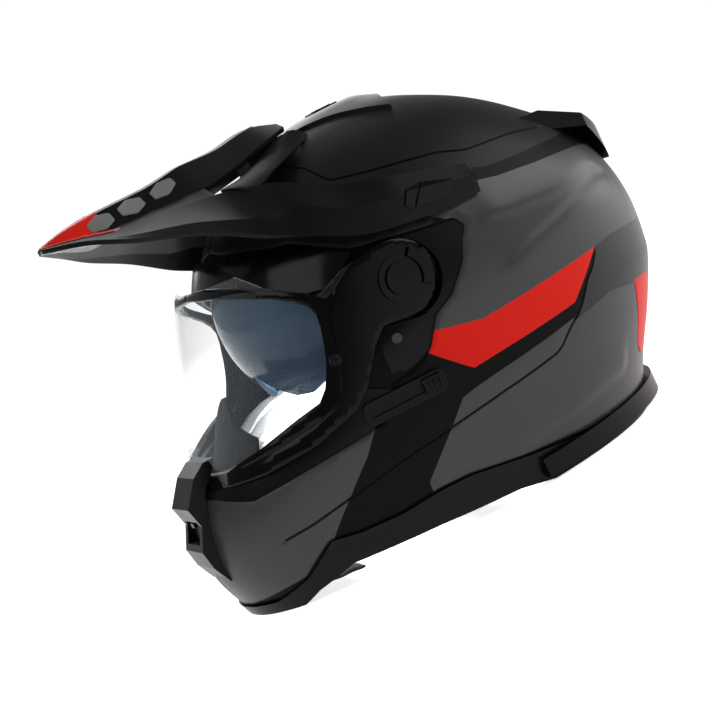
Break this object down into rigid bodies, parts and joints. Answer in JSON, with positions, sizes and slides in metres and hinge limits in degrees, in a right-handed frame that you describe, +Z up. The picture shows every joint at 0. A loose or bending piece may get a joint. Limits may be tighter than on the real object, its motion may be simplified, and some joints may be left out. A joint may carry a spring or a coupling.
{
  "type": "dual sport helmet",
  "caption": "Full-face riding helmet with a sun peak, a flip-up clear visor, a drop-down tinted sun visor, chin and crown vents and a lined interior.",
  "frame": {"origin": "on the table, under the middle of the helmet's box, the helmet standing on its rim", "axes": "+Z up, -Y the way the wearer looks, +X to the wearer's left"},
  "size_m": [0.2548, 0.3682, 0.2779],
  "materials": {
    "shell": "satin",
    "peak": "satin",
    "panel": "satin",
    "trim": "satin",
    "gasket": "matte",
    "foam": "matte",
    "lining": "matte",
    "clear_visor": "gloss",
    "tinted_visor": "gloss",
    "webbing": "matte",
    "steel": "satin",
    "red_tab": "matte",
    "insert": "satin",
    "buckle": "gloss"
  },
  "bodies": {
    "shell": {"breath_deflector": "trim", "brow_trim": "trim", "buckle_body": "buckle", "buckle_tongue": "steel", "cheek_foam_left": "foam", "cheek_foam_right": "foam", "cheek_pad_left": "lining", "cheek_pad_right": "lining", "chin_curtain": "lining", "chin_rim": "trim", "chin_vent": "panel", "comfort_lining": "lining", "eps_chin": "foam", "eps_crown": "foam", "eyeport_gasket": "gasket", "neck_roll": "lining", "outer_shell": "shell", "peak": "peak", "peak_arm_cover_left": "trim", "peak_arm_cover_right": "trim", "peak_inserts_left": "insert", "peak_inserts_right": "insert", "peak_mount_centre": "trim", "peak_mount_left": "trim", "peak_mount_right": "trim", "peak_screw": "steel", "pivot_cap_left": "trim", "pivot_cap_right": "trim", "pull_tab_left": "red_tab", "pull_tab_right": "red_tab", "rear_grilles": "trim", "rear_spoiler": "panel", "rim_trim": "gasket", "side_cover_left": "trim", "side_cover_right": "trim", "side_panel_left": "panel", "side_panel_right": "panel", "side_screws": "steel", "slider_track": "trim", "strap_anchors": "steel", "strap_left": "webbing", "strap_right": "webbing", "sun_bracket_left": "trim", "sun_bracket_right": "trim", "top_vent": "panel", "visor_base_left": "trim", "visor_base_right": "trim"},
    "visor": {"visor": "clear_visor", "visor_tab": "clear_visor", "visor_pins": "clear_visor"},
    "release_left": {"visor_release_left": "trim"},
    "release_right": {"visor_release_right": "trim"},
    "sun_visor": {"sun_visor": "tinted_visor"},
    "slider": {"slider_button": "trim"},
    "latch_left": {"peak_latch_left": "trim"},
    "latch_right": {"peak_latch_right": "trim"},
    "top_slider": {"top_vent_slider": "trim"},
    "shutter": {"chin_shutter": "trim"},
    "buckle_lever": {"buckle_lever": "buckle"}
  },
  "joints": [
    {"name": "visor_hinge", "type": "hinge", "parent": "shell", "child": "visor", "pos_m": [0, -0.024, 0.157], "axis": [-1, 0, 0], "range_deg": [0, 45]},
    {"name": "visor_release_left", "type": "hinge", "parent": "shell", "child": "release_left", "pos_m": [0.12, -0.024, 0.157], "axis": [-1, 0, 0], "range_deg": [0, 12], "stiffness_Nm_per_rad": 0.02},
    {"name": "visor_release_right", "type": "hinge", "parent": "shell", "child": "release_right", "pos_m": [-0.12, -0.024, 0.157], "axis": [-1, 0, 0], "range_deg": [0, 12], "stiffness_Nm_per_rad": 0.02},
    {"name": "sun_visor_hinge", "type": "hinge", "parent": "shell", "child": "sun_visor", "pos_m": [0, -0.014, 0.16], "axis": [-1, 0, 0], "range_deg": [0, 48]},
    {"name": "sun_visor_slider", "type": "slide", "parent": "shell", "child": "slider", "axis": [-0.2425, -0.9701, 0], "range_m": [0, 0.03]},
    {"name": "peak_latch_left", "type": "slide", "parent": "shell", "child": "latch_left", "axis": [0, -1, 0], "range_m": [0, 0.0025]},
    {"name": "peak_latch_right", "type": "slide", "parent": "shell", "child": "latch_right", "axis": [0, -1, 0], "range_m": [0, 0.0025]},
    {"name": "top_vent_slide", "type": "slide", "parent": "shell", "child": "top_slider", "axis": [0, 1, 0], "range_m": [0, 0.008]},
    {"name": "chin_shutter_slide", "type": "slide", "parent": "shell", "child": "shutter", "axis": [0, 0, -1], "range_m": [0, 0.008]},
    {"name": "buckle_release", "type": "hinge", "parent": "shell", "child": "buckle_lever", "pos_m": [0.02, -0.025, 0.0136], "axis": [0, 1, 0], "range_deg": [0, 30], "stiffness_Nm_per_rad": 0.02}
  ],
  "couplings": [
    {"joint": "sun_visor_slider", "follows": "sun_visor_hinge", "m_per_rad": 0.03581}
  ]
}
